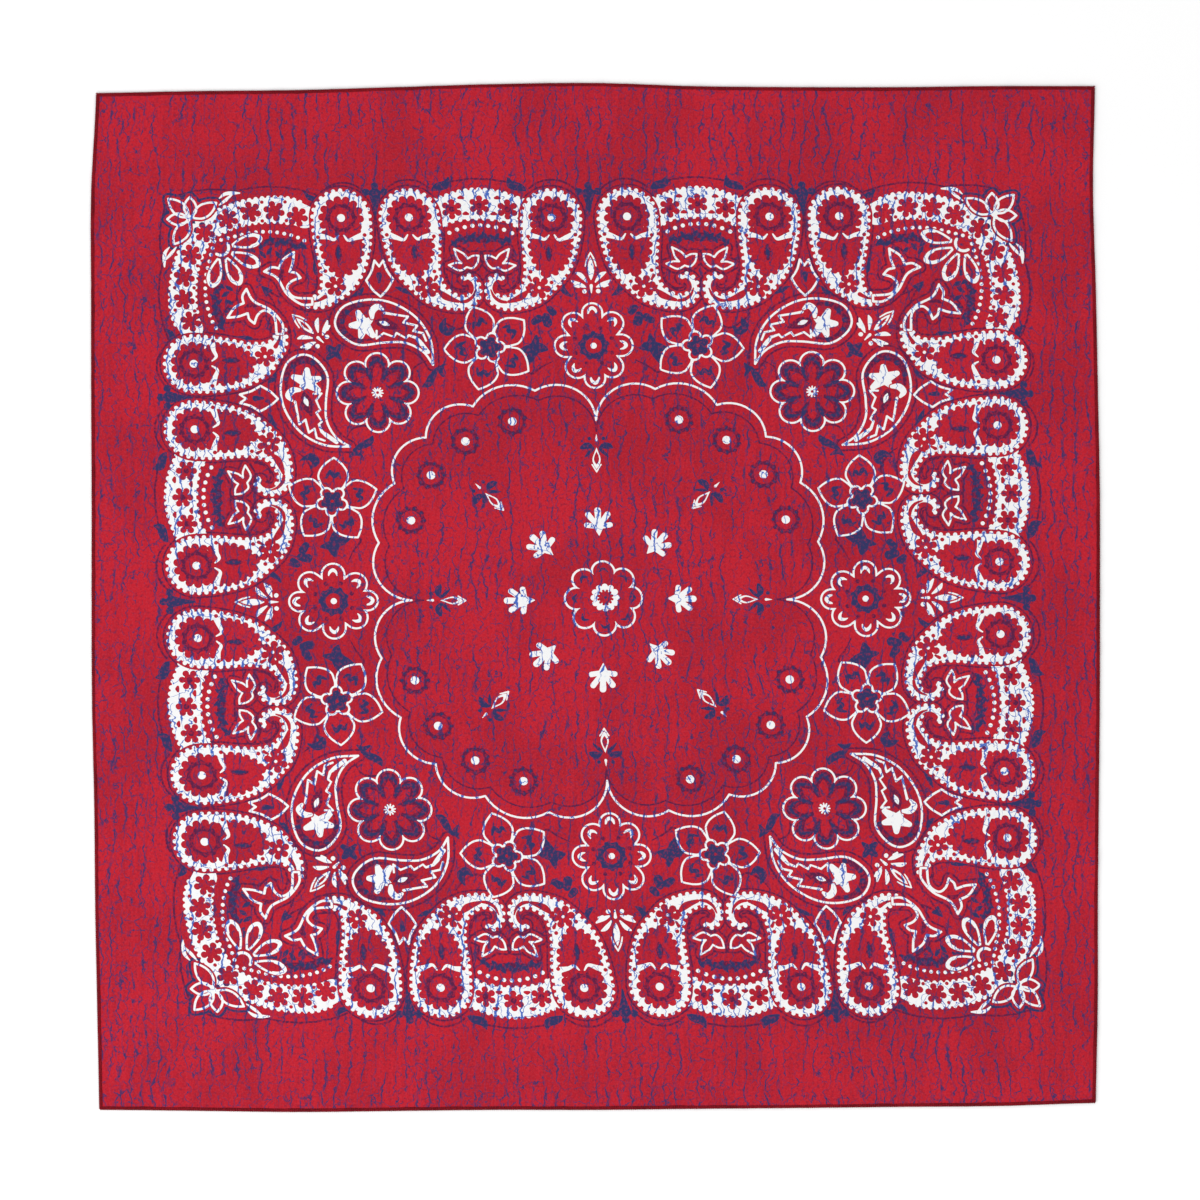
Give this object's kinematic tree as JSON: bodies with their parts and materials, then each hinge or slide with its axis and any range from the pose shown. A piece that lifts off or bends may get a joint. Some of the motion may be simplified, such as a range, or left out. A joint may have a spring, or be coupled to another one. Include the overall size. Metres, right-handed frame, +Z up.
{
  "type": "bandana",
  "caption": "Square printed cotton bandana laid flat, with softly creased cloth and a narrow overlocked edge all round.",
  "frame": {"origin": "middle of the underside of the laid cloth, on the surface that it lies on", "axes": "+Z up out of the printed side, +Y along the longer side towards the picture's top, +X towards the picture's right"},
  "size_m": [0.5518, 0.5624, 0.003],
  "materials": {
    "printed_cotton": "matt plain-weave cotton, red with a crackled white and navy print",
    "overlock_thread": "dull dark red sewing thread"
  },
  "bodies": {
    "root": {"panel": "printed_cotton", "hem_far": "overlock_thread", "hem_near": "overlock_thread", "hem_left": "overlock_thread", "hem_right": "overlock_thread"}
  },
  "joints": []
}
